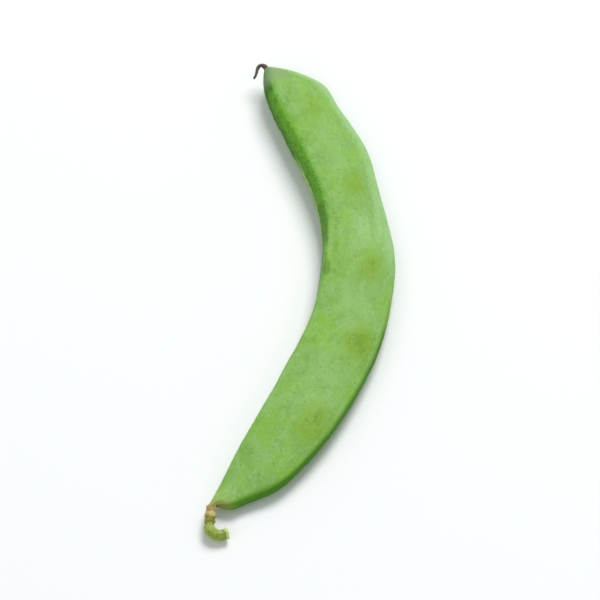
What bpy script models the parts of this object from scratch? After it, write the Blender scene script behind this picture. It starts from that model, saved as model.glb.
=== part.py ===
"""One fresh hyacinth bean pod, as picked, lying on a flat surface.

The pod is a flat scythe of a shell between two margins: a broad, blunt, ridged one along the
inside of the curve and a thin one along the outside. Its stalk half lies almost level, and its
tip half is rolled, so that the broad margin lifts. A toothed calyx and a hooked, broken stalk are
at one end, and a dry style at the other. +Z is up, the stalk end points to +X and the outside of
the curve to +Y. The origin is on the surface, under the middle of the whole.
"""

import math

import bpy
import numpy as np

MM = 0.001

# Places along the pod, stalk end first, in mm: the middle line of the margin inside the curve, and
# of the margin outside it. A station of the pod runs straight across from one to the other.
MARGIN_PAIRS = (
    ((59.2, -18.35, 2.95), (59.3, -17.22, 2.95)),
    ((57.9, -18.3, 2.95), (58.1, -16.98, 2.95)),
    ((56.4, -17.75, 2.9), (57.85, -15.85, 2.9)),
    ((54.8, -17.05, 2.75), (58.5, -14.2, 2.8)),
    ((52.4, -15.95, 2.6), (57.7, -11.4, 2.6)),
    ((45.25, -12.8, 3.0), (54.3, -4.2, 2.8)),
    ((35.35, -7.85, 3.9), (46.1, 3.55, 3.4)),
    ((22.7, -2.0, 4.4), (31.4, 12.6, 3.4)),
    ((10.2, 3.25, 4.8), (16.4, 18.5, 3.0)),
    ((-1.2, 5.5, 5.4), (0.9, 21.05, 2.7)),
    ((-12.4, 5.8, 6.2), (-14.9, 19.95, 2.4)),
    ((-24.0, 3.1, 7.0), (-30.8, 16.2, 2.3)),
    ((-35.1, -1.2, 7.4), (-42.9, 11.6, 2.4)),
    ((-39.7, -3.1, 7.5), (-47.9, 8.7, 2.6)),
    ((-43.8, -4.8, 7.65), (-51.9, 6.6, 3.0)),
    ((-47.4, -6.0, 7.8), (-53.7, 3.6, 3.8)),
    ((-50.2, -6.55, 7.9), (-54.6, 0.6, 5.0)),
    ((-52.2, -6.6, 8.0), (-54.9, -3.2, 6.4)),
    ((-53.7, -6.5, 8.0), (-54.6, -5.8, 7.6)),
)

# Thickness of the shell, in mm. Each half thickness is measured from the middle surface.
FULL_WIDTH = 16.0
BROAD_MARGIN_HALF = 2.3
THIN_MARGIN_HALF = 1.25
CROWN_HALF = 1.35
NARROWING_POWER = 0.62

# How square the two margins are: 2 is an ellipse, and a larger power is blunter.
BROAD_MARGIN_POWER = 15.0
THIN_MARGIN_POWER = 7.0

# Raised lines along the margins, in mm, with their places and widths as shares of the pod's width.
BROAD_RIDGE = 0.30
BROAD_RIDGE_AT = 0.036
BROAD_RIDGE_SPREAD = 0.024
VALLEY = 0.14
VALLEY_AT = 0.12
VALLEY_SPREAD = 0.05
THIN_RIDGE = 0.16
THIN_RIDGE_AT = 0.955
THIN_RIDGE_SPREAD = 0.025
SUTURE_GROOVE = 0.30
SUTURE_SPREAD = 0.55

# The seeds inside show as low swellings. Each place is the distance from the stalk end along the
# pod, in mm, and the share of the width from the broad margin.
SEED_PLACES = ((30.3, 0.73), (52.2, 0.71), (70.5, 0.62), (91.3, 0.52), (114.0, 0.44))
SEED_SWELLING = 0.65
SEED_LENGTH = 5.6
SEED_SPREAD = 0.22

# The thin margin bulges a little: distance from the stalk end and how far, in mm.
MARGIN_BULGES = ((30.0, 0.35), (76.0, 0.45), (99.0, 0.7))
MARGIN_BULGE_LENGTH = 6.5

# The shell lies on its lowest point in each of three stretches, given as shares of its length.
# What reaches lower than the surface there is pressed flat, by this depth in mm.
REST_SHARES = ((0.07, 0.20), (0.42, 0.66), (0.82, 0.97))
REST_FLAT_DEPTH = 0.16
REST_PASSES = 6

# The calyx, in mm: the two ends of its axis, and its profile from the outside of its base over the
# rim to the inside, as distance from the base, radius and share of the teeth's rise and fall.
CALYX_BASE = (62.3, -18.15, 2.85)
CALYX_MOUTH = (58.2, -17.7, 3.0)
CALYX_PROFILE = (
    (0.0, 0.8, 0.0),
    (0.12, 1.0, 0.0),
    (0.55, 1.12, 0.0),
    (1.15, 0.98, 0.0),
    (1.6, 1.15, 0.0),
    (2.4, 1.2, 0.0),
    (2.95, 1.04, 0.0),
    (3.45, 1.02, 0.4),
    (4.1, 1.12, 1.0),
    (4.1, 0.9, 1.0),
    (3.6, 0.8, 0.6),
    (3.05, 0.78, 0.0),
    (2.8, 0.45, 0.0),
)
CALYX_TEETH = 5
CALYX_TOOTH = 0.85
CALYX_TOOTH_POWER = 1.3

# Routes of the stalk and the style, with the radius at each point, in mm.
STALK_PATH = (
    (62.6, -18.1, 2.8),
    (63.15, -18.1, 2.7),
    (64.0, -17.7, 2.45),
    (64.6, -16.85, 2.2),
    (64.7, -15.9, 2.05),
    (64.5, -15.0, 1.95),
    (64.25, -14.25, 1.9),
)
STALK_RADII = (0.9, 1.12, 1.22, 1.2, 1.15, 1.15, 1.22)
STYLE_PATH = (
    (-54.6, -6.65, 8.0),
    (-54.75, -7.2, 8.1),
    (-54.2, -7.95, 7.9),
    (-52.9, -8.3, 7.4),
    (-52.0, -8.8, 6.9),
)
STYLE_RADII = (0.42, 0.36, 0.33, 0.3, 0.22)

# Base colours as linear red, green and blue, and roughness.
FINISHES = {
    "pod": ((0.27, 0.50, 0.14), 0.50),
    "calyx": ((0.45, 0.33, 0.12), 0.70),
    "stalk": ((0.28, 0.38, 0.07), 0.60),
    "style": ((0.12, 0.09, 0.06), 0.85),
}

# Fineness of the meshes.
END_CLOSENESS = 0.075
POD_STATIONS = 72
POD_AROUND = 34
CALYX_AROUND = 30
STALK_RINGS = 22
STALK_AROUND = 14
STYLE_RINGS = 12
STYLE_AROUND = 10
CURVE_SAMPLES = 900


def clear_scene():
    for thing in list(bpy.data.objects):
        bpy.data.objects.remove(thing, do_unlink=True)


def smooth_curve(knots, points, at):
    """Natural cubic spline: passes through each point at its knot, with no bend at its two ends."""
    knots = np.asarray(knots, float)
    points = np.asarray(points, float)
    count = len(knots)
    step = np.diff(knots)
    slope = np.diff(points, axis=0) / step[:, None]
    system = np.eye(count)
    wanted = np.zeros_like(points)
    for i in range(1, count - 1):
        system[i, i - 1:i + 2] = step[i - 1], 2.0 * (step[i - 1] + step[i]), step[i]
        wanted[i] = 6.0 * (slope[i] - slope[i - 1])
    bend = np.linalg.solve(system, wanted)
    i = np.clip(np.searchsorted(knots, at) - 1, 0, count - 2)
    after = ((at - knots[i]) / step[i])[:, None]
    before = 1.0 - after
    curved = (before**3 - before) * bend[i] + (after**3 - after) * bend[i + 1]
    return before * points[i] + after * points[i + 1] + curved * (step[i] ** 2)[:, None] / 6.0


def travelled(points):
    """Distance along a row of points from the first one to each of them."""
    steps = np.linalg.norm(np.diff(points, axis=0), axis=1)
    return np.concatenate(([0.0], np.cumsum(steps)))


def unit(vectors):
    return vectors / np.linalg.norm(vectors, axis=-1, keepdims=True)


def hump(value, centre, spread):
    """Bell curve, 1 at its centre."""
    return np.exp(-(((value - centre) / spread) ** 2))


def margins():
    """Both margins at the stations, and the distance along the pod.

    The stations are closer together at the ends.
    """
    inner, outer = (np.array(side) for side in zip(*MARGIN_PAIRS))
    knots = travelled((inner + outer) / 2.0)
    fine = np.linspace(0.0, knots[-1], CURVE_SAMPLES)
    travel = travelled(smooth_curve(knots, inner, fine)) + travelled(smooth_curve(knots, outer, fine))
    share = np.linspace(0.0, 1.0, POD_STATIONS)
    share = share - END_CLOSENESS * np.sin(2.0 * math.pi * share)
    along = np.interp(share * travel[-1], travel, fine)
    inner = smooth_curve(knots, inner, along)
    outer = smooth_curve(knots, outer, along)
    bulge = sum(height * hump(along, place, MARGIN_BULGE_LENGTH) for place, height in MARGIN_BULGES)
    outer = outer + bulge[:, None] * unit(outer - inner)
    return inner, outer, along


def pod_rings():
    """Rings of points round the shell, in mm, one for each station.

    At a station, the half thickness rises from the broad margin over the crown to the thin margin,
    and is closed at both by a superellipse. Ridges, valley and seed swellings are added as bells.
    """
    inner, outer, along = margins()
    across = outer - inner
    width = np.linalg.norm(across, axis=1)[:, None]
    middle = (inner + outer) / 2.0
    forward = unit(np.gradient(middle, along, axis=0))
    over = unit(np.cross(across, forward))
    angle = np.linspace(0.0, 2.0 * math.pi, POD_AROUND, endpoint=False)[None, :]
    u = (1.0 - np.cos(angle)) / 2.0
    fullness = np.minimum(width / FULL_WIDTH, 1.0) ** NARROWING_POWER
    power = BROAD_MARGIN_POWER + (THIN_MARGIN_POWER - BROAD_MARGIN_POWER) * u
    power = 2.0 + (power - 2.0) * fullness**2
    closing = np.sqrt(np.maximum(0.0, 1.0 - np.abs(2.0 * u - 1.0) ** power))
    half = BROAD_MARGIN_HALF + (THIN_MARGIN_HALF - BROAD_MARGIN_HALF) * u
    half = half + CROWN_HALF * np.sin(math.pi * u)
    relief = BROAD_RIDGE * hump(u, BROAD_RIDGE_AT, BROAD_RIDGE_SPREAD)
    relief = relief - VALLEY * hump(u, VALLEY_AT, VALLEY_SPREAD)
    relief = relief + THIN_RIDGE * hump(u, THIN_RIDGE_AT, THIN_RIDGE_SPREAD)
    for place, beyond in SEED_PLACES:
        swelling = hump(along[:, None], place, SEED_LENGTH) * hump(u, beyond, SEED_SPREAD)
        relief = relief + SEED_SWELLING * swelling
    half = closing * (half * fullness + relief * fullness**2)
    rise = np.where(angle < math.pi, half, -half)
    groove = SUTURE_GROOVE * fullness * hump(rise, 0.0, SUTURE_SPREAD) * (u < 0.5)
    place = u + groove / width
    rings = inner[:, None, :] + across[:, None, :] * place[:, :, None]
    return rings + over[:, None, :] * rise[:, :, None], along / along[-1]


def resting_plane(rings, share):
    """Slope and height of the plane that touches the shell's lowest point in each rest zone."""
    plane = np.zeros(3)
    for _ in range(REST_PASSES):
        height = rings[..., 2] - (plane[0] + plane[1] * rings[..., 0] + plane[2] * rings[..., 1])
        touching = []
        for start, end in REST_SHARES:
            zone = rings[(share >= start) & (share <= end)].reshape(-1, 3)
            lows = height[(share >= start) & (share <= end)].reshape(-1)
            touching.append(zone[np.argmin(lows)])
        touching = np.array(touching)
        plane = np.linalg.solve(np.column_stack((np.ones(3), touching[:, :2])), touching[:, 2])
    return plane


def tube_rings(path, radii, rings, around):
    """Rings round a smooth path, with the radius running smoothly through the radii given."""
    path = np.array(path)
    knots = travelled(path)
    at = np.linspace(0.0, knots[-1], rings)
    centre = smooth_curve(knots, path, at)
    radius = smooth_curve(knots, np.array(radii)[:, None], at)[:, :, None]
    forward = unit(np.gradient(centre, axis=0))
    side = unit(np.cross(forward, (0.0, 0.0, 1.0)))
    over = np.cross(forward, side)
    angle = np.linspace(0.0, 2.0 * math.pi, around, endpoint=False)[None, :, None]
    return centre[:, None] + radius * (np.cos(angle) * side[:, None] + np.sin(angle) * over[:, None])


def calyx_rings():
    """Rings of the profile turned round the calyx's axis, moved along it by a wave at the teeth."""
    base = np.array(CALYX_BASE)
    axis = unit(np.array(CALYX_MOUTH) - base)
    side = unit(np.cross(axis, (0.0, 0.0, 1.0)))
    over = np.cross(axis, side)
    angle = np.linspace(0.0, 2.0 * math.pi, CALYX_AROUND, endpoint=False)[None, :, None]
    tooth = (0.5 - 0.5 * np.cos(CALYX_TEETH * angle)) ** CALYX_TOOTH_POWER - 0.5
    distance, radius, share = np.array(CALYX_PROFILE).T[:, :, None, None]
    outwards = np.cos(angle) * side + np.sin(angle) * over
    return base + axis * (distance + CALYX_TOOTH * share * tooth) + radius * outwards


def closed_mesh(name, rings):
    """Mesh of quads between neighbouring rings, with each end closed by a fan round its middle."""
    count, around = rings.shape[:2]
    points = np.vstack((rings.reshape(-1, 3), rings[0].mean(axis=0), rings[-1].mean(axis=0))) * MM
    first, last = count * around, count * around + 1
    faces = []
    for i in range(count - 1):
        for j in range(around):
            k = (j + 1) % around
            faces.append((i * around + j, i * around + k, (i + 1) * around + k, (i + 1) * around + j))
    for j in range(around):
        k = (j + 1) % around
        faces.append((first, k, j))
        faces.append((last, (count - 1) * around + j, (count - 1) * around + k))
    mesh = bpy.data.meshes.new(name)
    mesh.from_pydata(points.tolist(), [], faces)
    mesh.validate()
    mesh.shade_smooth()
    return mesh


def plain_material(name, colour, roughness):
    material = bpy.data.materials.new(name)
    material.use_nodes = True
    shader = material.node_tree.nodes["Principled BSDF"]
    shader.inputs["Base Color"].default_value = (*colour, 1.0)
    shader.inputs["Roughness"].default_value = roughness
    shader.inputs["Metallic"].default_value = 0.0
    return material


def add_piece(name, rings, colour, roughness):
    mesh = closed_mesh(name, rings)
    mesh.materials.append(plain_material(name + "_finish", colour, roughness))
    piece = bpy.data.objects.new(name, mesh)
    bpy.context.scene.collection.objects.link(piece)


def build():
    clear_scene()
    pod, share = pod_rings()
    pieces = {
        "pod": pod,
        "calyx": calyx_rings(),
        "stalk": tube_rings(STALK_PATH, STALK_RADII, STALK_RINGS, STALK_AROUND),
        "style": tube_rings(STYLE_PATH, STYLE_RADII, STYLE_RINGS, STYLE_AROUND),
    }
    level, slope_x, slope_y = resting_plane(pod, share)
    for rings in pieces.values():
        rings[..., 2] -= level + slope_x * rings[..., 0] + slope_y * rings[..., 1] + REST_FLAT_DEPTH
    pod[..., 2] = np.maximum(pod[..., 2], 0.0)
    everything = np.vstack([rings.reshape(-1, 3) for rings in pieces.values()])
    middle = (everything.min(axis=0) + everything.max(axis=0)) / 2.0
    for name, rings in pieces.items():
        rings[..., :2] -= middle[:2]
        add_piece(name, rings, *FINISHES[name])


build()
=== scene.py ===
"""Looks of one fresh hyacinth bean pod, lying on a pale floor in soft light.

Laid out as an add-on, and run as a script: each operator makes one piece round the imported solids.
The pod's form is the solids' own, from the same driving values, with the finer relief added:
warty ridges along the broad margin, low veins, slight unevenness and wrinkles at the neck.
Lengths in the tables below are millimetres, in the frame the solids were drawn in.
"""

import math

import bpy
import numpy as np
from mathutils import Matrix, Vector


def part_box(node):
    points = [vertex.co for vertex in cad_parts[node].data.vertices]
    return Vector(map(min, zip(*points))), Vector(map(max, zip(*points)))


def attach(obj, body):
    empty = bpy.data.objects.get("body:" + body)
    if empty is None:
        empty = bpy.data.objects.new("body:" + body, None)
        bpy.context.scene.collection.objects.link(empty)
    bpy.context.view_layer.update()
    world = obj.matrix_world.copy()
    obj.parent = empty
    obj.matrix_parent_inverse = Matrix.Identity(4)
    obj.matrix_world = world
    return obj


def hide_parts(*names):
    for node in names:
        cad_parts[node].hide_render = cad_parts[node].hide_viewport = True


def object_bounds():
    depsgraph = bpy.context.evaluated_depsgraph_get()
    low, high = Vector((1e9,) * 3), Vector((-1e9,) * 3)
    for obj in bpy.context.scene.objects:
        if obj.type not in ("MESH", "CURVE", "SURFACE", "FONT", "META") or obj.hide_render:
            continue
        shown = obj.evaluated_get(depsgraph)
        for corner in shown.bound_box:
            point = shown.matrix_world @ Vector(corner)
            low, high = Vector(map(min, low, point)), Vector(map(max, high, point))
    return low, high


bl_info = {
    "name": "Hyacinth Bean Pod",
    "version": (1, 0, 0),
    "blender": (4, 5, 0),
    "location": "View3D > Sidebar > Bean Pod",
    "description": "Makes a fresh green bean pod with its calyx, stalk and style, and a plain stage",
    "category": "Add Mesh",
}

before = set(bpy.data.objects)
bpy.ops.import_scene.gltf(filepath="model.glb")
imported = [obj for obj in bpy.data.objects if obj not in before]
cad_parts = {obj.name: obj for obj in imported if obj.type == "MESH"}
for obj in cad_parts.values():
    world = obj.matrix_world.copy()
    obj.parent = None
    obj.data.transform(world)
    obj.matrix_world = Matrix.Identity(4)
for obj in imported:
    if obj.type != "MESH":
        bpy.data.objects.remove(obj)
CAD_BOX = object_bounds()
BODY = "root"
MM = 0.001

# Places along the pod, stalk end first: the broad margin inside the curve, then the thin margin.
MARGIN_PAIRS = (
    ((59.2, -18.35, 2.95), (59.3, -17.22, 2.95)),
    ((57.9, -18.3, 2.95), (58.1, -16.98, 2.95)),
    ((56.4, -17.75, 2.9), (57.85, -15.85, 2.9)),
    ((54.8, -17.05, 2.75), (58.5, -14.2, 2.8)),
    ((52.4, -15.95, 2.6), (57.7, -11.4, 2.6)),
    ((45.25, -12.8, 3.0), (54.3, -4.2, 2.8)),
    ((35.35, -7.85, 3.9), (46.1, 3.55, 3.4)),
    ((22.7, -2.0, 4.4), (31.4, 12.6, 3.4)),
    ((10.2, 3.25, 4.8), (16.4, 18.5, 3.0)),
    ((-1.2, 5.5, 5.4), (0.9, 21.05, 2.7)),
    ((-12.4, 5.8, 6.2), (-14.9, 19.95, 2.4)),
    ((-24.0, 3.1, 7.0), (-30.8, 16.2, 2.3)),
    ((-35.1, -1.2, 7.4), (-42.9, 11.6, 2.4)),
    ((-39.7, -3.1, 7.5), (-47.9, 8.7, 2.6)),
    ((-43.8, -4.8, 7.65), (-51.9, 6.6, 3.0)),
    ((-47.4, -6.0, 7.8), (-53.7, 3.6, 3.8)),
    ((-50.2, -6.55, 7.9), (-54.6, 0.6, 5.0)),
    ((-52.2, -6.6, 8.0), (-54.9, -3.2, 6.4)),
    ((-53.7, -6.5, 8.0), (-54.6, -5.8, 7.6)),
)

# Thickness of the shell and bluntness of its margins, as in the solids.
FULL_WIDTH = 16.0
BROAD_MARGIN_HALF = 2.3
THIN_MARGIN_HALF = 1.25
CROWN_HALF = 1.35
NARROWING_POWER = 0.62
BROAD_MARGIN_POWER = 15.0
THIN_MARGIN_POWER = 7.0

# Raised and sunk lines along the margins: height, place and spread as shares of the width.
BROAD_RIDGE = (0.30, 0.036, 0.024)
VALLEY = (-0.14, 0.12, 0.05)
THIN_RIDGE = (0.16, 0.955, 0.025)
SUTURE_GROOVE = 0.30
SUTURE_SPREAD = 0.55

# The seeds inside: distance along the pod, and share of the width from the broad margin.
SEED_PLACES = ((30.3, 0.73), (52.2, 0.71), (70.5, 0.62), (91.3, 0.52), (114.0, 0.44))
SEED_SWELLING = 0.65
SEED_LENGTH = 5.6
SEED_SPREAD = 0.22

# Bulges of the thin margin: distance along the pod, and height.
MARGIN_BULGES = ((30.0, 0.35), (76.0, 0.45), (99.0, 0.7))
MARGIN_BULGE_LENGTH = 6.5

# How the solids' shell was laid on the surface.
REST_SHARES = ((0.07, 0.20), (0.42, 0.66), (0.82, 0.97))
REST_FLAT_DEPTH = 0.16
REST_PASSES = 6
COARSE_STATIONS = 72
COARSE_AROUND = 34
END_CLOSENESS = 0.075
CURVE_SAMPLES = 900
NOISE_CELLS = 32
TINY = 1e-12

# Calyx, stalk and style, as in the solids.
CALYX_BASE = (62.3, -18.15, 2.85)
CALYX_MOUTH = (58.2, -17.7, 3.0)
CALYX_TEETH = 5
STALK_PATH = (
    (62.6, -18.1, 2.8),
    (63.15, -18.1, 2.7),
    (64.0, -17.7, 2.45),
    (64.6, -16.85, 2.2),
    (64.7, -15.9, 2.05),
    (64.5, -15.0, 1.95),
    (64.25, -14.25, 1.9),
)
STYLE_PATH = (
    (-54.6, -6.65, 8.0),
    (-54.75, -7.2, 8.1),
    (-54.2, -7.95, 7.9),
    (-52.9, -8.3, 7.4),
    (-52.0, -8.8, 6.9),
)

# Fine hairs: how far they lean, bend and droop, how deep they are rooted, and their shortest and
# longest, as shares of the usual length.
HAIR_RADIUS = 0.022
HAIR_LEAN = 0.45
HAIR_SHARES = (0.5, 1.1)
HAIR_ROOT = 0.05
HAIR_DROOP = 0.05
STRAND_BEND = 0.3
STRAND_STEPS = 4
STRAND_SIDES = 3


def smooth_curve(knots, points, at):
    """Natural cubic spline: passes through each point at its knot, with no bend at its two ends."""
    knots = np.asarray(knots, float)
    points = np.asarray(points, float)
    count = len(knots)
    step = np.diff(knots)
    slope = np.diff(points, axis=0) / step[:, None]
    system = np.eye(count)
    wanted = np.zeros_like(points)
    for i in range(1, count - 1):
        system[i, i - 1:i + 2] = step[i - 1], 2.0 * (step[i - 1] + step[i]), step[i]
        wanted[i] = 6.0 * (slope[i] - slope[i - 1])
    bend = np.linalg.solve(system, wanted)
    i = np.clip(np.searchsorted(knots, at) - 1, 0, count - 2)
    after = ((at - knots[i]) / step[i])[:, None]
    before = 1.0 - after
    curved = (before**3 - before) * bend[i] + (after**3 - after) * bend[i + 1]
    return before * points[i] + after * points[i + 1] + curved * (step[i] ** 2)[:, None] / 6.0


def travelled(points):
    """Distance along a row of points from the first one to each of them."""
    steps = np.linalg.norm(np.diff(points, axis=0), axis=1)
    return np.concatenate(([0.0], np.cumsum(steps)))


def unit(vectors):
    """The vectors, each made one long."""
    return vectors / np.linalg.norm(vectors, axis=-1, keepdims=True)


def hump(value, centre, spread):
    """Bell curve, 1 at its centre."""
    return np.exp(-(((value - centre) / spread) ** 2))


def ramp(value, low, high):
    """Smooth step from 0 at low to 1 at high."""
    share = np.clip((value - low) / (high - low), 0.0, 1.0)
    return share * share * (3.0 - 2.0 * share)


def unevenness(points, size, seed):
    """Smooth noise from -1 to 1: seeded values on a lattice of this size, blended in between."""
    values = np.random.default_rng(seed).uniform(-1.0, 1.0, (NOISE_CELLS,) * 3)
    place = points / size
    low = np.floor(place).astype(int)
    share = place - low
    share = share * share * (3.0 - 2.0 * share)
    total = 0.0
    for corner in np.ndindex(2, 2, 2):
        corner = np.array(corner)
        weight = np.prod(np.where(corner == 1, share, 1.0 - share), axis=-1)
        x, y, z = np.moveaxis((low + corner) % NOISE_CELLS, -1, 0)
        total = total + weight * values[x, y, z]
    return total


def noises(points, layers):
    """Sum of noises. A layer is the noise's height in mm, the size of its patches and its seed."""
    return sum(height * unevenness(points, size, seed) for height, size, seed in layers)


def outward(rings):
    """Unit normals of closed rings, from the steps round each ring and from ring to ring."""
    around = np.roll(rings, -1, axis=1) - np.roll(rings, 1, axis=1)
    forward = np.gradient(rings, axis=0)
    return unit(np.cross(around, forward) + TINY)


def margins(stations):
    """Both margins at the stations, and the distance along the pod, closer together at the ends."""
    inner, outer = (np.array(side) for side in zip(*MARGIN_PAIRS))
    knots = travelled((inner + outer) / 2.0)
    fine = np.linspace(0.0, knots[-1], CURVE_SAMPLES)
    travel = sum(travelled(smooth_curve(knots, side, fine)) for side in (inner, outer))
    share = np.linspace(0.0, 1.0, stations)
    share = share - END_CLOSENESS * np.sin(2.0 * math.pi * share)
    along = np.interp(share * travel[-1], travel, fine)
    inner = smooth_curve(knots, inner, along)
    outer = smooth_curve(knots, outer, along)
    bulge = sum(height * hump(along, place, MARGIN_BULGE_LENGTH) for place, height in MARGIN_BULGES)
    outer = outer + bulge[:, None] * unit(outer - inner)
    return inner, outer, along


def shell(stations, around):
    """The pod's own form as rings of points, with what the finish needs to know of each point.

    At a station, the half thickness rises from the broad margin over the crown to the thin margin,
    and is closed at both by a superellipse. Ridges, valley and seed swellings are added as bells.
    """
    inner, outer, along = margins(stations)
    across = outer - inner
    width = np.linalg.norm(across, axis=1)[:, None]
    forward = unit(np.gradient((inner + outer) / 2.0, along, axis=0))
    over = unit(np.cross(across, forward))
    angle = np.linspace(0.0, 2.0 * math.pi, around, endpoint=False)[None, :]
    u = (1.0 - np.cos(angle)) / 2.0
    fullness = np.minimum(width / FULL_WIDTH, 1.0) ** NARROWING_POWER
    power = BROAD_MARGIN_POWER + (THIN_MARGIN_POWER - BROAD_MARGIN_POWER) * u
    power = 2.0 + (power - 2.0) * fullness**2
    closing = np.sqrt(np.maximum(0.0, 1.0 - np.abs(2.0 * u - 1.0) ** power))
    half = BROAD_MARGIN_HALF + (THIN_MARGIN_HALF - BROAD_MARGIN_HALF) * u
    half = half + CROWN_HALF * np.sin(math.pi * u)
    lines = (BROAD_RIDGE, VALLEY, THIN_RIDGE)
    relief = sum(height * hump(u, at, spread) for height, at, spread in lines)
    seed = 0.0
    for place, beyond in SEED_PLACES:
        seed = seed + hump(along[:, None], place, SEED_LENGTH) * hump(u, beyond, SEED_SPREAD)
    half = closing * (half * fullness + (relief + SEED_SWELLING * seed) * fullness**2)
    rise = np.where(angle < math.pi, half, -half)
    groove = SUTURE_GROOVE * fullness * hump(rise, 0.0, SUTURE_SPREAD) * (u < 0.5)
    place = u + groove / width
    rings = inner[:, None, :] + across[:, None, :] * place[:, :, None]
    rings = rings + over[:, None, :] * rise[:, :, None]
    facts = {"along": along[:, None], "u": u, "angle": angle, "width": width, "fullness": fullness}
    facts = {name: np.broadcast_to(values, rings.shape[:2]) for name, values in facts.items()}
    return rings, facts | {"rise": rise, "seed": seed}


def resting_plane(rings, share):
    """Slope and height of the plane that touches the shell's lowest point in each rest zone."""
    plane = np.zeros(3)
    for _ in range(REST_PASSES):
        height = rings[..., 2] - (plane[0] + plane[1] * rings[..., 0] + plane[2] * rings[..., 1])
        touching = []
        for start, end in REST_SHARES:
            inside = (share >= start) & (share <= end)
            touching.append(rings[inside].reshape(-1, 3)[np.argmin(height[inside])])
        touching = np.array(touching)
        plane = np.linalg.solve(np.column_stack((np.ones(3), touching[:, :2])), touching[:, 2])
    return plane


def find_laying():
    """The plane and the shift that lay drawn points on the surface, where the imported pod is."""
    coarse, facts = shell(COARSE_STATIONS, COARSE_AROUND)
    along = facts["along"][:, 0]
    plane = resting_plane(coarse, along / along[-1])
    low = np.array(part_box("pod")[0]) / MM
    shift = low[:2] - coarse.reshape(-1, 3).min(axis=0)[:2]
    return plane, shift


PLANE, SHIFT = find_laying()


def laid(points):
    """Drawn points in millimetres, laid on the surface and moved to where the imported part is."""
    level, slope_x, slope_y = PLANE
    height = points[..., 2] - level - slope_x * points[..., 0] - slope_y * points[..., 1]
    height = np.maximum(height - REST_FLAT_DEPTH, 0.0)
    return np.concatenate((points[..., :2] + SHIFT, height[..., None]), axis=-1)


def filled_mesh(name, points, corners, sizes, attributes):
    """Smooth mesh of drawn points, with its faces as one row of corners and the size of each."""
    mesh = bpy.data.meshes.new(name)
    mesh.vertices.add(len(points))
    mesh.vertices.foreach_set("co", (laid(points) * MM).reshape(-1))
    mesh.loops.add(len(corners))
    mesh.loops.foreach_set("vertex_index", corners)
    mesh.polygons.add(len(sizes))
    mesh.polygons.foreach_set("loop_start", np.concatenate(([0], np.cumsum(sizes)[:-1])))
    mesh.update(calc_edges=True)
    mesh.validate()
    mesh.shade_smooth()
    for label, values in attributes.items():
        kind, field = ("FLOAT_VECTOR", "vector") if values.ndim == 2 else ("FLOAT", "value")
        layer = mesh.attributes.new(label, kind, "POINT")
        layer.data.foreach_set(field, values.reshape(-1))
    return mesh


def ring_mesh(name, rings, attributes=None):
    """Mesh of quads between neighbouring rings, with each end closed by a fan round its middle.

    Corner j of ring i is point i * around + j, and each quad joins corners j and j + 1 of two
    rings. The two fans use one more point each, in the middle of the first and of the last ring.
    """
    count, around = rings.shape[:2]
    points = np.vstack((rings.reshape(-1, 3), rings[0].mean(axis=0), rings[-1].mean(axis=0)))
    i, j = np.meshgrid(np.arange(count - 1), np.arange(around), indexing="ij")
    k = (j + 1) % around
    quads = np.stack((i * around + j, i * around + k, (i + 1) * around + k, (i + 1) * around + j), -1)
    j = np.arange(around)
    k = (j + 1) % around
    first = np.stack((np.full(around, count * around), k, j), -1)
    last_ring = (count - 1) * around
    last = np.stack((np.full(around, count * around + 1), last_ring + j, last_ring + k), -1)
    corners = np.concatenate((quads.reshape(-1), first.reshape(-1), last.reshape(-1)))
    sizes = np.concatenate((np.full((count - 1) * around, 4), np.full(2 * around, 3)))
    every = {}
    for label, values in (attributes or {}).items():
        flat = np.broadcast_to(values, (count, around) + values.shape[2:])
        ends = np.stack((flat[0].mean(axis=0), flat[-1].mean(axis=0)))
        every[label] = np.concatenate((flat.reshape((count * around,) + values.shape[2:]), ends))
    return filled_mesh(name, points, corners, sizes, every)


def strand_mesh(name, roots, directions, lengths, radius, droop, seed):
    """Mesh of many fine strands, each a bent three-sided cone that is closed at its root.

    A strand's middle line is root + direction * way + bend * way squared, where way runs from 0 to
    its length, and its radius shrinks evenly to its point. The bends are seeded draws, and droop.
    """
    count, steps, sides = len(roots), STRAND_STEPS, STRAND_SIDES
    draw = np.random.default_rng(seed)
    bend = draw.normal(0.0, STRAND_BEND, (count, 3)) - (0.0, 0.0, droop)
    across = unit(np.cross(directions, draw.normal(0.0, 1.0, (count, 3))))
    over = np.cross(directions, across)
    way = np.linspace(0.0, 1.0, steps + 1)[None, :, None] * lengths[:, None, None]
    middle = roots[:, None] + directions[:, None] * way + bend[:, None] * way**2
    angle = np.linspace(0.0, 2.0 * math.pi, sides, endpoint=False)[:, None]
    outwards = np.cos(angle) * across[:, None, None] + np.sin(angle) * over[:, None, None]
    shrink = np.linspace(1.0, 0.0, steps + 1)[:-1, None, None]
    rings = middle[:, :-1, None] + radius * shrink * outwards
    each = steps * sides + 1
    points = np.concatenate((rings.reshape(count, -1, 3), middle[:, -1:]), axis=1).reshape(-1, 3)
    start = np.arange(count)[:, None, None] * each
    i, j = np.meshgrid(np.arange(steps - 1), np.arange(sides), indexing="ij")
    k = (j + 1) % sides
    quads = np.stack((i * sides + j, i * sides + k, (i + 1) * sides + k, (i + 1) * sides + j), -1)
    j = np.arange(sides)
    k = (j + 1) % sides
    last = (steps - 1) * sides
    point = np.stack((last + j, last + k, np.full(sides, each - 1)), -1)
    root = j[::-1][None]
    triangles = np.concatenate((point, root))
    every_quad = start + quads.reshape(1, -1, 4)
    every_triangle = start + triangles
    corners = np.concatenate((every_quad.reshape(-1), every_triangle.reshape(-1)))
    sizes = np.concatenate((np.full(count * (steps - 1) * sides, 4), np.full(count * (sides + 1), 3)))
    return filled_mesh(name, points, corners, sizes, {})


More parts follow.
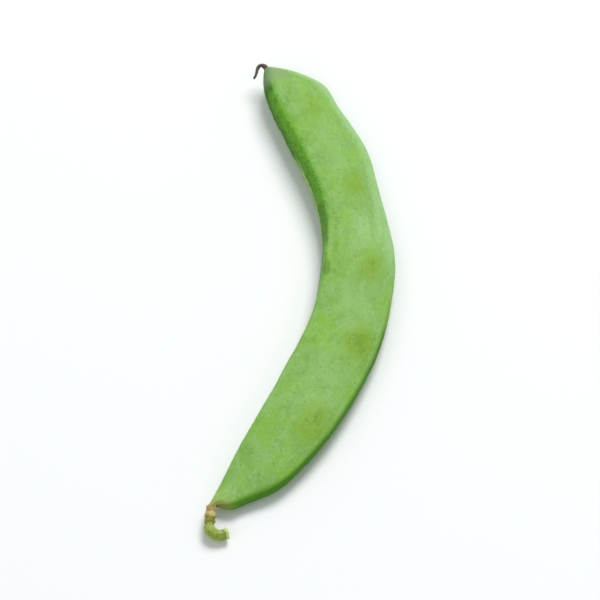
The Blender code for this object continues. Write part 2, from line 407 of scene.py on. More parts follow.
def add_piece(name, mesh, material, node):
    """Puts a finished mesh in the scene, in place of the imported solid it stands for."""
    mesh.materials.append(material)
    piece = bpy.data.objects.new(name, mesh)
    bpy.context.scene.collection.objects.link(piece)
    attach(piece, BODY)
    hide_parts(node)


def tube(path, radii, rings, around):
    """A smooth path: its points, radius, directions out of it and along it, angle and share."""
    path = np.array(path)
    knots = travelled(path)
    at = np.linspace(0.0, knots[-1], rings)
    centre = smooth_curve(knots, path, at)
    radius = smooth_curve(knots, np.array(radii)[:, None], at)
    forward = unit(np.gradient(centre, axis=0))
    side = unit(np.cross(forward, (0.0, 0.0, 1.0)))
    over = np.cross(forward, side)
    angle = np.linspace(0.0, 2.0 * math.pi, around, endpoint=False)[None, :]
    outwards = np.cos(angle)[..., None] * side[:, None] + np.sin(angle)[..., None] * over[:, None]
    return centre, radius, outwards, forward, angle, (at / at[-1])[:, None]


def grow_hairs(context, node, rings, count, deep, seed):
    """A piece of fine hairs at drawn corners of the rings, leaning from the surface's normal."""
    length = context.scene.bean_pod_sizes.hair_length / MM
    draw = np.random.default_rng(seed)
    ring = draw.integers(2, len(rings) - 2, count)
    corner = draw.integers(0, rings.shape[1], count)
    normals = outward(rings)[ring, corner]
    directions = unit(normals + draw.normal(0.0, HAIR_LEAN, (count, 3)))
    lengths = length * draw.uniform(*HAIR_SHARES, count)
    roots = rings[ring, corner] - HAIR_ROOT * normals
    name = node + "_hairs"
    mesh = strand_mesh(name, roots, directions, lengths, HAIR_RADIUS, HAIR_DROOP, seed + 1)
    material = hair_material(node + "_hair", context.scene.bean_pod_colours.hair_pale, deep)
    add_piece(name, mesh, material, node)


class Value:
    """A number socket that takes Python's arithmetic, and adds a Math node for each step."""

    def __init__(self, paint, socket):
        self.paint = paint
        self.socket = socket

    def _math(self, operation, first, second):
        return self.paint.node("ShaderNodeMath", {"operation": operation}, {0: first, 1: second})

    def __add__(self, other):
        return self._math("ADD", self, other)

    __radd__ = __add__

    def __sub__(self, other):
        return self._math("SUBTRACT", self, other)

    def __rsub__(self, other):
        return self._math("SUBTRACT", other, self)

    def __mul__(self, other):
        return self._math("MULTIPLY", self, other)

    __rmul__ = __mul__

    def step(self, low, high):
        """Smooth step from 0 at low to 1 at high."""
        settings = {"interpolation_type": "SMOOTHSTEP"}
        return self.paint.node("ShaderNodeMapRange", settings, {0: self, 1: low, 2: high})


class Paint:
    """One material's node tree, built from expressions."""

    def __init__(self, name, **constants):
        self.material = bpy.data.materials.new(name)
        self.material.use_nodes = True
        self.tree = self.material.node_tree
        self.shader = self.tree.nodes["Principled BSDF"]
        for socket, value in constants.items():
            self.shader.inputs[socket.replace("_", " ")].default_value = value
        self.place = self.node("ShaderNodeTexCoord", output="Object")

    def node(self, kind, settings=None, sockets=None, output=0):
        """Adds a node, makes its settings, then sets or links its sockets, and gives one output."""
        node = self.tree.nodes.new(kind)
        for name, value in (settings or {}).items():
            setattr(node, name, value)
        for name, value in (sockets or {}).items():
            if isinstance(value, Value):
                self.tree.links.new(value.socket, node.inputs[name])
            else:
                node.inputs[name].default_value = value
        return Value(self, node.outputs[output])

    def attribute(self, name, output="Fac"):
        return self.node("ShaderNodeAttribute", {"attribute_name": name}, output=output)

    def noise(self, size_mm, detail=3.0, roughness=0.5, place=None, scale_place=None):
        """Smooth noise about 0.5, whose patches are this many millimetres across."""
        place = place or self.place
        if scale_place:
            settings = {"operation": "MULTIPLY"}
            place = self.node("ShaderNodeVectorMath", settings, {0: place, 1: scale_place})
        scale = 1.0 / (size_mm * MM)
        sockets = {"Vector": place, "Scale": scale, "Detail": detail, "Roughness": roughness}
        return self.node("ShaderNodeTexNoise", {}, sockets, "Fac")

    def dots(self, size_mm, edge, kept):
        """Scattered dots. Each fades over edge, in shares of their spacing, and a draw keeps some."""
        sockets = {"Vector": self.place, "Scale": 1.0 / (size_mm * MM)}
        distance = self.node("ShaderNodeTexVoronoi", {}, sockets, "Distance")
        cell = self.node("ShaderNodeTexVoronoi", {}, sockets, "Color")
        draw = self.node("ShaderNodeSeparateColor", {}, {0: cell})
        return (1.0 - distance.step(*edge)) * draw.step(*kept)

    def mix(self, share, first, second):
        """Colour that goes from the first to the second as share goes from 0 to 1."""
        sockets = {0: share, 6: self.colour(first), 7: self.colour(second)}
        return self.node("ShaderNodeMix", {"data_type": "RGBA"}, sockets, 2)

    def layers(self, colour, layers):
        """The colour with each layer's colour mixed over it in turn, by that layer's share."""
        for share, over in layers:
            colour = self.mix(share, colour, over)
        return colour

    @staticmethod
    def colour(value):
        return value if isinstance(value, Value) else (*value, 1.0)

    def finish(self, colour, roughness, height, depth_mm):
        """Links colour, roughness and relief to the shader. Relief of 1 stands this high in mm."""
        sockets = {"Height": height, "Distance": depth_mm * MM, "Strength": 1.0}
        normal = self.node("ShaderNodeBump", {}, sockets, "Normal")
        self.tree.links.new(colour.socket, self.shader.inputs["Base Color"])
        self.tree.links.new(roughness.socket, self.shader.inputs["Roughness"])
        self.tree.links.new(normal.socket, self.shader.inputs["Normal"])
        return self.material


def skin_material(colours):
    """The pod's skin: mottled yellow-green under a pale waxy coat, deeper and bare along its margins,
    with painted light and shade on them.

    Attributes of the mesh give the place on the skin. seed is 1 over a seed; broad and thin are 1
    on a bare margin, and thin also places painted shade on the thin margin's stalk half;
    painted_sunlit is 1 where sunlight is painted as yellower green on the broad margin's upper
    part near the tip; shaded is 1 where shade is painted on the broad margin's underside and at
    the tip; olive and pale_edge are 1 on its olive and worn stretches; bloom_and_highlight is 1
    where the waxy coat is thickest, and along the thin margin's tip half, where a highlight is
    painted; tip, neck and stain are 1 at the two ends; along is the share of the length; and skin
    is the place along and across the pod in metres.
    """
    paint = Paint("pod_skin", Subsurface_Weight=0.10, Subsurface_Scale=0.002, Specular_IOR_Level=0.22)
    paint.shader.inputs["Subsurface Radius"].default_value = (0.6, 1.0, 0.25)
    skin = paint.attribute("skin", "Vector")
    clouds = paint.noise(9.0, 3.0, 0.55)
    patches = paint.noise(3.6, 4.0, 0.6)
    flecks = paint.noise(0.9, 3.0, 0.65)
    streaks = paint.noise(1.4, 3.0, 0.6, skin, (0.30, 1.0, 1.0))
    veins = paint.noise(2.6, 2.0, 0.5, skin, (0.45, 1.0, 1.0)) - 0.5
    vein = 1.0 - (veins * veins * 900.0).step(0.0, 1.0)
    uneven = (patches - 0.5) * 0.9 + (flecks - 0.5) * 0.5

    def patchy(name, wander, low, high):
        """A mask of the mesh, whose edge wanders with the skin's unevenness."""
        return (paint.attribute(name) + uneven * wander).step(low, high)

    seed = paint.attribute("seed")
    seed_patch = (seed + (patches - 0.5) * 0.9).step(0.12, 0.92)
    seed_core = (seed + (flecks - 0.5) * 0.9 + (patches - 0.5) * 1.3).step(0.84, 1.20)
    # pale covers the pale waxy coat, and also a painted highlight along the thin margin in the tip half.
    pale = patchy("bloom_and_highlight", 1.3, 0.10, 1.05)
    side = patchy("broad", 0.5, 0.08, 1.0)
    near_stalk = 1.0 - paint.attribute("along").step(0.12, 0.34)
    # Painted shade, with the bare margin's own deeper green, on the thin margin's edge in the stalk half.
    deep_and_shaded_rim = (paint.attribute("thin") + uneven * 0.25 + near_stalk * 0.08).step(0.58, 1.0)
    pits = paint.dots(1.25, (0.08, 0.24), (0.45, 0.75))
    specks = paint.dots(0.85, (0.18, 0.60), (0.30, 0.55))
    motes = paint.dots(0.7, (0.12, 0.28), (0.6, 0.8))
    colour = paint.mix(clouds.step(0.36, 0.64), colours.skin_yellow, colours.skin_blue)
    colour = paint.layers(colour, (
        (patches.step(0.42, 0.64) * 0.7, colours.skin_deep),
        (pale * 0.85, colours.bloom_and_highlight_pale),
        (streaks.step(0.50, 0.68) * 0.32, colours.skin_deep),
        (flecks.step(0.52, 0.70) * 0.40, colours.bloom_and_highlight_pale),
        (vein * 0.18, colours.bloom_and_highlight_pale),
        (seed_patch * 0.72, colours.seed_yellow),
        (seed_core * 0.6, colours.seed_olive),
        (side * 0.92, colours.margin_green),
        # Painted sunlight: yellower green on the broad margin's upper part near the tip.
        (patchy("painted_sunlit", 0.8, 0.2, 0.8) * 0.8, colours.margin_painted_sunlit),
        (patchy("olive", 0.5, 0.25, 0.85) * 0.7, colours.margin_olive),
        (patchy("shaded", 0.6, 0.2, 0.9) * 0.75, colours.margin_deep),
        (paint.attribute("pale_edge") * (0.5 + flecks * 0.7), colours.edge_pale),
        (pits * (0.4 + paint.attribute("broad") * 0.4), colours.speck_green),
        (specks * side * 0.55, colours.margin_deep),
        (motes * 0.22, colours.mote_pale),
        (patchy("tip", 0.3, 0.1, 0.9) * 0.7, colours.tip_grey),
        (patchy("neck", 0.3, 0.1, 0.9) * 0.65, colours.neck_yellow),
        (patchy("thin", 0.35, 0.05, 0.55) * (0.55 + near_stalk * 0.3), colours.rim_yellow),
        # Painted shade and the bare margin's deeper green along the thin margin.
        (deep_and_shaded_rim * 0.92, colours.rim_green_and_shade),
        (patchy("stain", 0.4, 0.1, 0.9) * 0.6, colours.neck_brown),
    ))
    roughness = 0.42 + patches * 0.12 + flecks * 0.12 + pale * 0.08 + side * 0.18
    height = patches * 0.25 + flecks * 0.25 + vein * 0.25 - pits * 0.35 + motes * 0.12
    return paint.finish(colour, roughness, height, 0.16)


def calyx_material(colours):
    """Drying calyx: olive lobes at its base, a tan ring, and orange-brown teeth, with painted shade in the
    creases between lobes, ring and teeth.
    """
    paint = Paint("calyx_skin", Subsurface_Weight=0.05, Subsurface_Scale=0.001)
    grain = paint.noise(0.5, 4.0, 0.6)
    clouds = paint.noise(1.3, 3.0, 0.5)
    blots = paint.noise(0.8, 2.0, 0.5)
    wander = paint.attribute("share") + (clouds - 0.5) * 0.30 + (grain - 0.5) * 0.15
    # Painted shade in the calyx's two creases, where its profile narrows.
    dark = (paint.attribute("crease") + (grain - 0.5) * 0.7).step(0.3, 1.1)
    colour = paint.mix(clouds.step(0.35, 0.65), colours.calyx_tan, colours.calyx_pale)
    colour = paint.layers(colour, (
        (1.0 - wander.step(0.31, 0.47), colours.calyx_olive),
        (wander.step(0.56, 0.76) * 0.8, colours.calyx_orange),
        (dark * 0.65, colours.calyx_brown),
        (blots.step(0.56, 0.76) * 0.4, colours.calyx_brown),
        (grain.step(0.54, 0.76) * 0.4, colours.calyx_pale),
    ))
    roughness = 0.62 + grain * 0.2
    return paint.finish(colour, roughness, grain + clouds, 0.12)


def stalk_material(colours):
    """Yellow-green stalk, olive in its creases, brown round a pale fibrous broken end."""
    paint = Paint("stalk_skin", Subsurface_Weight=0.08, Subsurface_Scale=0.0012)
    share = paint.attribute("share")
    broken = paint.attribute("broken")
    grain = paint.noise(0.35, 4.0, 0.6)
    clouds = paint.noise(1.6, 3.0, 0.5)
    creases = paint.noise(0.9, 2.0, 0.5)
    top = 1.0 - (share + (clouds - 0.5) * 0.15).step(0.12, 0.30)
    edge = share + (grain - 0.5) * 0.05
    colour = paint.mix(clouds.step(0.35, 0.65), colours.stalk_green, colours.stalk_yellow)
    colour = paint.layers(colour, (
        (top * 0.35, colours.stalk_olive),
        (grain.step(0.56, 0.75) * 0.45, colours.stalk_olive),
        (creases.step(0.52, 0.66) * 0.5, colours.stalk_olive),
        (edge.step(0.74, 0.90) * 0.38, colours.calyx_brown),
        ((edge + broken).step(0.885, 0.925), colours.stalk_pith),
        (broken * grain.step(0.5, 0.7) * 0.3, colours.stalk_yellow),
    ))
    roughness = 0.5 + grain * 0.2
    return paint.finish(colour, roughness, grain, 0.1)


def hair_material(name, pale, deep):
    """Fine hairs and fibres: one pale colour that deepens a little from strand to strand."""
    paint = Paint(name, IOR=1.4)
    grain = paint.noise(0.6, 2.0, 0.5)
    colour = paint.mix(grain.step(0.40, 0.62), pale, deep)
    roughness = 0.6 + grain * 0.1
    return paint.finish(colour, roughness, grain, 0.01)


def style_material(colours):
    """Dry style: grey-brown, darker in its creases."""
    paint = Paint("style_skin", IOR=1.4)
    grain = paint.noise(0.3, 4.0, 0.6)
    colour = paint.mix(grain.step(0.35, 0.65), colours.style_dark, colours.style_brown)
    roughness = 0.75 + grain * 0.15
    return paint.finish(colour, roughness, grain, 0.08)


def floor_material(colours):
    """Matt white table."""
    paint = Paint("table_white")
    grain = paint.noise(3.0, 2.0, 0.5)
    colour = paint.mix(grain * 0.02, colours.table_white, (0.8, 0.8, 0.8))
    roughness = 0.6 + grain * 0.02
    return paint.finish(colour, roughness, grain, 0.01)


def tint(name, description, red, green, blue):
    return bpy.props.FloatVectorProperty(
        name=name,
        description=description,
        default=(red, green, blue),
        subtype="COLOR",
        min=0.0,
        max=1.0,
    )


def measure(name, description, millimetres):
    return bpy.props.FloatProperty(
        name=name,
        description=description,
        default=millimetres * MM,
        unit="LENGTH",
        precision=5,
    )


class BeanPodSizes(bpy.types.PropertyGroup):
    """Fine relief that is added to the solids' own form."""

    wart_height: measure("Wart height", "Height of the warts along the broad margin", 0.17)
    wart_spacing: measure("Wart spacing", "Distance from wart to wart", 3.2)
    vein_height: measure("Vein height", "Height of the low veins under the skin", 0.045)
    vein_spacing: measure("Vein spacing", "Distance from vein to vein", 2.6)
    unevenness: measure("Unevenness", "Depth of the slight hollows in the skin", 0.18)
    pebble: measure("Pebble", "Height of the finest grain of the skin", 0.018)
    seam: measure("Seam", "Height of the seam in the broad margin's groove", 0.14)
    neck_wrinkle: measure("Neck wrinkle", "Depth of the wrinkles at the neck", 0.07)
    hair_length: measure("Hair length", "Length of the hairs on calyx and stalk", 0.5)
    stations: bpy.props.IntProperty(
        name="Stations", description="Rings along the pod", default=600, min=100, max=640
    )
    around: bpy.props.IntProperty(
        name="Around", description="Points round each ring", default=150, min=60, max=150
    )


class BeanPodColours(bpy.types.PropertyGroup):
    """Base colours, as linear red, green and blue."""

    skin_yellow: tint("Skin yellow", "Yellower skin of the faces", 0.212, 0.434, 0.052)
    skin_blue: tint("Skin blue", "Bluer skin of the faces", 0.232, 0.446, 0.108)
    skin_deep: tint("Skin deep", "Darker streaks in the skin", 0.150, 0.345, 0.044)
    # The pale waxy coat's colour, also used for the painted highlight along the thin margin's tip half.
    bloom_and_highlight_pale: tint("Bloom pale", "Bloom on the skin", 0.318, 0.548, 0.215)
    seed_yellow: tint("Seed yellow", "Patch over a seed", 0.205, 0.372, 0.018)
    seed_olive: tint("Seed olive", "Middle of the patch over a seed", 0.150, 0.270, 0.018)
    margin_green: tint("Margin green", "Bare side of the broad margin", 0.112, 0.325, 0.018)
    # Painted sunlit colour for the broad margin's upper part near the tip.
    margin_painted_sunlit: tint("Margin sunny", "Yellow stretch of the broad margin", 0.140, 0.370, 0.022)
    margin_olive: tint("Margin olive", "Olive stretch of the broad margin", 0.085, 0.220, 0.022)
    margin_deep: tint("Margin deep", "Shaded stretch of the broad margin", 0.030, 0.140, 0.010)
    # The thin margin's bare green, deepened into painted shade.
    rim_green_and_shade: tint("Rim green", "Bare side of the thin margin", 0.050, 0.190, 0.006)
    rim_yellow: tint("Rim yellow", "Yellower upper part of the thin margin", 0.135, 0.320, 0.016)
    edge_pale: tint("Edge pale", "Worn ridge under the broad margin", 0.420, 0.560, 0.220)
    speck_green: tint("Speck green", "Fine dark pits", 0.065, 0.200, 0.030)
    mote_pale: tint("Mote pale", "Fine pale dots", 0.520, 0.700, 0.400)
    tip_grey: tint("Tip grey", "Greyish skin at the tip", 0.235, 0.340, 0.160)
    neck_yellow: tint("Neck yellow", "Yellow-green skin at the neck", 0.370, 0.520, 0.150)
    neck_brown: tint("Neck brown", "Stained skin under the calyx", 0.340, 0.330, 0.080)
    calyx_orange: tint("Calyx orange", "Dry teeth and rim", 0.385, 0.228, 0.060)
    calyx_tan: tint("Calyx tan", "Ring of the calyx", 0.430, 0.380, 0.120)
    calyx_pale: tint("Calyx pale", "Paler parts of the ring", 0.590, 0.540, 0.200)
    calyx_olive: tint("Calyx olive", "Lobes at the calyx's base", 0.250, 0.245, 0.022)
    # Brown of the calyx's blots and of the stalk's ring by its broken end, and also painted shade in the
    # calyx's creases.
    calyx_brown: tint("Calyx brown", "Dark grain and creases", 0.100, 0.062, 0.020)
    stalk_green: tint("Stalk green", "Most of the stalk", 0.250, 0.360, 0.035)
    stalk_yellow: tint("Stalk yellow", "Paler parts of the stalk", 0.370, 0.470, 0.080)
    stalk_olive: tint("Stalk olive", "Creases of the stalk", 0.110, 0.150, 0.012)
    stalk_pith: tint("Stalk pith", "Broken end of the stalk", 0.560, 0.680, 0.250)
    style_dark: tint("Style dark", "Creases of the style", 0.045, 0.040, 0.028)
    style_brown: tint("Style brown", "Most of the style", 0.160, 0.140, 0.090)
    hair_pale: tint("Hair pale", "Hairs on calyx and stalk", 0.620, 0.640, 0.420)
    table_white: tint("Table white", "Floor of the stage", 0.86, 0.87, 0.87)


class BeanPodStage(bpy.types.PropertyGroup):
    """Camera, light and floor."""

    azimuth: bpy.props.FloatProperty(
        name="Azimuth", description="Where the camera stands round the pod", default=math.radians(90.0),
        subtype="ANGLE"
    )
    elevation: bpy.props.FloatProperty(
        name="Elevation", description="How far the camera looks down", default=math.radians(55.0),
        subtype="ANGLE"
    )
    distance: bpy.props.FloatProperty(
        name="Distance", description="Camera to the pod", default=5.0, unit="LENGTH"
    )
    view_width: bpy.props.FloatProperty(
        name="View width", description="What the picture takes in at the pod", default=0.128,
        unit="LENGTH"
    )


class MESH_OT_bean_pod_shell(bpy.types.Operator):
    """Make the green shell of the pod, from neck to tip"""

    bl_idname = "mesh.bean_pod_shell"
    bl_label = "Pod"

    # Where each change along the pod starts and ends, as shares of its length from the neck.
    SIDE_ROLLS_UP = (0.53, 0.70)
    THIN_SIDE_NARROWS = (0.08, 0.20)
    THIN_SIDE_ENDS = (0.42, 0.56)
    WORN_STARTS = (0.56, 0.60)
    WORN_ENDS = (0.77, 0.81)
    # The painted highlight along the thin margin comes in over this stretch.
    HIGHLIGHT_STRIP_STARTS = (0.50, 0.70)
    SHADE_BELOW = (0.79, 0.83)
    SHADE_ALL = (0.925, 0.96)
    ROUGH_STARTS = (0.50, 0.62)
    ROUGH_ENDS = (0.93, 0.98)
    TIP = (0.94, 0.98)
    NECK = (0.0, 0.075)
    # Middle and spread of single patches: along the pod as shares, and away from the margin in mm.
    # This patch places the painted sunlight on the broad margin near the tip.
    PAINTED_SUNLIT = (0.885, 0.05)
    OLIVE = (0.645, 0.06)
    BLOTCH = (0.535, 0.026)
    BLOTCH_ACROSS = (0.9, 1.1)
    BLOOM_MIDDLE = (0.615, 0.045)
    # The two faces take their patterns from places this many millimetres to each side.
    SKIN_APART = 40.0
    VEINS_APART = 9.0
    HOLLOWS = ((0.65, 7.0, 14), (0.35, 3.1, 15))
    PEBBLE_SIZE = 0.7
    WRINKLES = 11.0
    WRINKLE_REACH = 5.0

    def execute(self, context):
        sizes = context.scene.bean_pod_sizes
        rings, facts = shell(sizes.stations, sizes.around)
        from_broad = facts["u"] * facts["width"]
        lift = facts["rise"] / (BROAD_MARGIN_HALF * facts["fullness"])
        relief = self.warts(facts, from_broad, lift, sizes)
        relief = relief + self.relief(rings, facts, from_broad, sizes)
        attributes = self.masks(facts, from_broad, lift)
        rings = rings + outward(rings) * relief[..., None]
        mesh = ring_mesh("pod_shell", rings, attributes)
        material = skin_material(context.scene.bean_pod_colours)
        add_piece("pod_shell", mesh, material, "pod")
        return {"FINISHED"}

    def masks(self, facts, from_broad, lift):
        """What the paint needs to know of each point, as the skin's material says.

        Each mask is a product of smooth steps and bells of three places: the share of the pod's
        length, the distance from a margin, and the height on the broad margin's side, which goes
        from -1 underneath to 1 on top.
        """
        along, u, width = facts["along"], facts["u"], facts["width"]
        share = along / along.max()
        from_thin = (1.0 - u) * width
        near_broad = 1.0 - ramp(from_broad, 0.4, 1.3)
        rolled = 0.1 + 0.9 * ramp(share, *self.SIDE_ROLLS_UP)
        beneath = 1.0 - ramp(lift, -0.1, 0.6)
        reach = np.minimum(2.0 - 0.8 * ramp(share, *self.THIN_SIDE_NARROWS), 0.35 * width)
        near_thin = 1.0 - ramp(from_thin / reach, 0.12, 1.0)
        tip_half = ramp(share, *self.THIN_SIDE_ENDS)
        worn = ramp(share, *self.WORN_STARTS) * (1.0 - ramp(share, *self.WORN_ENDS))
        # Painted highlight: pale along the thin margin in the tip half, on the side the light comes from.
        highlight_strip = 1.0 - ramp(from_thin, 0.8, 4.2)
        highlight_strip = highlight_strip * ramp(share, *self.HIGHLIGHT_STRIP_STARTS)
        middle = hump(share, *self.BLOOM_MIDDLE) * ramp(from_broad, 3.0, 8.0)
        # Painted sunlight on the broad margin near the tip, kept below to the margin's upper part.
        painted_sunlit = (1.0 - ramp(from_broad, 0.6, 2.4)) * hump(share, *self.PAINTED_SUNLIT)
        blotch = 0.95 * hump(share, *self.BLOTCH) * hump(from_broad, *self.BLOTCH_ACROSS)
        below = near_broad * (1.0 - ramp(lift, -0.6, 0.2))
        far_side = np.sign(facts["rise"]) * self.SKIN_APART
        skin = np.stack((along, from_broad, far_side), axis=-1) * MM
        return {
            "seed": facts["seed"] * (1.3 - 0.6 * share),
            "broad": (1.0 - ramp(from_broad, 0.0, 2.8)) * np.maximum(rolled, beneath),
            "painted_sunlit": painted_sunlit * ramp(lift, -0.2, 0.5),
            "olive": near_broad * hump(share, *self.OLIVE) + blotch,
            "shaded": below * ramp(share, *self.SHADE_BELOW)
            + near_broad * ramp(share, *self.SHADE_ALL),
            "pale_edge": near_broad * hump(lift, -0.50, 0.26) * worn,
            # thin also places the painted shade on the thin margin's stalk half.
            "thin": near_thin * (1.0 - tip_half),
            "bloom_and_highlight": 0.28 * ramp(u, 0.1, 0.5) + 0.8 * highlight_strip + 0.4 * middle,
            "tip": ramp(share, *self.TIP) * (1.0 - ramp(u, 0.35, 0.85)),
            "neck": 1.0 - ramp(share, *self.NECK),
            "stain": 1.0 - ramp(share, 0.008, 0.03 + 0.03 * ramp(u, 0.4, 0.9)),
            "along": share,
            "skin": skin,
        }

    def warts(self, facts, from_broad, lift, sizes):
        """Low warts along the ridges of the broad margin, in mm.

        They are the upper part of a smooth noise on the margin's side, times a slow wave along the
        pod whose step and height wander, and they fade on the groove and away from the margin.
        """
        spacing = sizes.wart_spacing / MM
        place = np.stack((facts["along"], facts["rise"] * 1.3, from_broad), axis=-1)
        bumps = ramp(unevenness(place, 0.42 * spacing, 11), -0.1, 0.8)
        turns = facts["along"] / spacing + 0.35 * unevenness(place, 2.0 * spacing, 12)
        wave = 0.65 + 0.35 * np.sin(2.0 * math.pi * turns)
        fade = hump(from_broad, 0.3, 0.9) * ramp(np.abs(lift), 0.15, 0.75)
        share = facts["along"] / facts["along"].max()
        smooth = 1.0 - ramp(share, *self.ROUGH_ENDS)
        rough = 0.45 + 0.55 * ramp(share, *self.ROUGH_STARTS) * smooth
        return sizes.wart_height / MM * bumps * wave * fade * rough * facts["fullness"]

    def relief(self, rings, facts, from_broad, sizes):
        """Height of the skin's fine relief above the form, in mm.

        Veins are the lines where a stretched noise passes zero. Hollows and pebbles are noise,
        wrinkles are waves round the neck that die away along it, and the seam is a low bell on the
        bottom of the broad margin's groove.
        """
        along, angle = facts["along"], facts["angle"]
        from_thin = (1.0 - facts["u"]) * facts["width"]
        far_side = np.sign(facts["rise"]) * self.VEINS_APART
        slant = (along * 0.35 + from_broad * 0.55, from_broad * 0.9 - along * 0.15, far_side)
        slant = np.stack(slant, axis=-1)
        crossing = unevenness(slant, sizes.vein_spacing / MM, 13)
        veins = sizes.vein_height / MM * hump(crossing, 0.0, 0.10) * ramp(from_broad, 1.0, 3.0)
        veins = veins * ramp(from_thin, 0.5, 2.0)
        hollows = sizes.unevenness / MM * noises(rings, self.HOLLOWS)
        pebbles = sizes.pebble / MM * unevenness(rings, self.PEBBLE_SIZE, 16)
        waves = np.cos(self.WRINKLES * angle) * np.exp(-along / self.WRINKLE_REACH)
        wrinkles = sizes.neck_wrinkle / MM * waves
        seam = sizes.seam / MM * hump(facts["rise"], 0.0, 0.6) * (facts["u"] < 0.1)
        return (veins + hollows) * facts["fullness"] ** 2 + (pebbles + seam) * facts["fullness"] + wrinkles


class MESH_OT_bean_calyx(bpy.types.Operator):
    """Make the dry toothed calyx at the pod's neck, with its fine hairs"""

    bl_idname = "mesh.bean_calyx"
    bl_label = "Calyx"

    # Distance from the base, radius, and share of the teeth's rise and fall.
    PROFILE = (
        (0.0, 0.55, 0.0),
        (0.04, 0.86, 0.0),
        (0.35, 1.1, 0.0),
        (0.75, 1.12, 0.0),
        (1.12, 0.94, 0.0),
        (1.42, 1.04, 0.0),
        (1.75, 1.15, 0.0),
        (2.35, 1.16, 0.0),
        (2.7, 1.09, 0.0),
        (2.97, 1.0, 0.0),
        (3.25, 0.99, 0.15),
        (3.65, 1.02, 0.55),
        (4.1, 0.97, 1.0),
        (4.14, 0.88, 1.03),
        (4.02, 0.8, 0.95),
        (3.6, 0.76, 0.5),
        (3.05, 0.74, 0.0),
        (2.8, 0.4, 0.0),
    )
    OUTER_SHARE = 0.66
    LENGTH = 4.1
    CREASES = ((1.12, 0.17), (2.92, 0.22))
    LOBES_AT = 0.6
    LOBE = 0.09
    RINGS = 130
    AROUND = 150
    TOOTH = 0.8
    TOOTH_POWER = 0.9
    RIB = 0.03
    ROUGH = ((0.10, 0.8, 21), (0.05, 0.3, 22))
    HAIRS = 80

    def execute(self, context):
        colours = context.scene.bean_pod_colours
        rings, distance = self.cup()
        crease = sum(hump(distance, place, spread) for place, spread in self.CREASES)
        mesh = ring_mesh("calyx_cup", rings, {"share": distance / self.LENGTH, "crease": crease})
        add_piece("calyx_cup", mesh, calyx_material(colours), "calyx")
        outer = rings[: int(self.RINGS * self.OUTER_SHARE)]
        grow_hairs(context, "calyx", outer, self.HAIRS, colours.calyx_tan, 23)
        return {"FINISHED"}

    def cup(self):
        """The profile turned round the axis, moved along it by a wave at the teeth, and wrinkled."""
        base = np.array(CALYX_BASE)
        axis = unit(np.array(CALYX_MOUTH) - base)
        side = unit(np.cross(axis, (0.0, 0.0, 1.0)))
        over = np.cross(axis, side)
        profile = np.array(self.PROFILE)
        knots = travelled(profile[:, :2])
        at = np.linspace(0.0, knots[-1], self.RINGS)
        distance, radius, toothed = smooth_curve(knots, profile, at).T[:, :, None, None]
        angle = np.linspace(0.0, 2.0 * math.pi, self.AROUND, endpoint=False)[None, :, None]
        turned = angle + 0.16 * np.sin(2.0 * angle) + 0.08 * np.sin(3.0 * angle + 1.0)
        tooth = (0.5 - 0.5 * np.cos(CALYX_TEETH * turned)) ** self.TOOTH_POWER - 0.5
        longer = 1.0 + 0.22 * np.sin(2.0 * angle + 1.0)
        lobes = self.LOBE * np.cos(CALYX_TEETH * turned) * hump(distance, self.LOBES_AT, 0.4)
        outwards = np.cos(angle) * side + np.sin(angle) * over
        rings = base + axis * (distance + self.TOOTH * toothed * tooth * longer)
        rings = rings + (radius + lobes) * outwards
        ribs = self.RIB * np.cos(2.0 * CALYX_TEETH * turned[..., 0])
        rough = ribs + noises(rings, self.ROUGH)
        rings = rings + outward(rings) * rough[..., None]
        return rings, np.broadcast_to(distance[..., 0], rings.shape[:2])


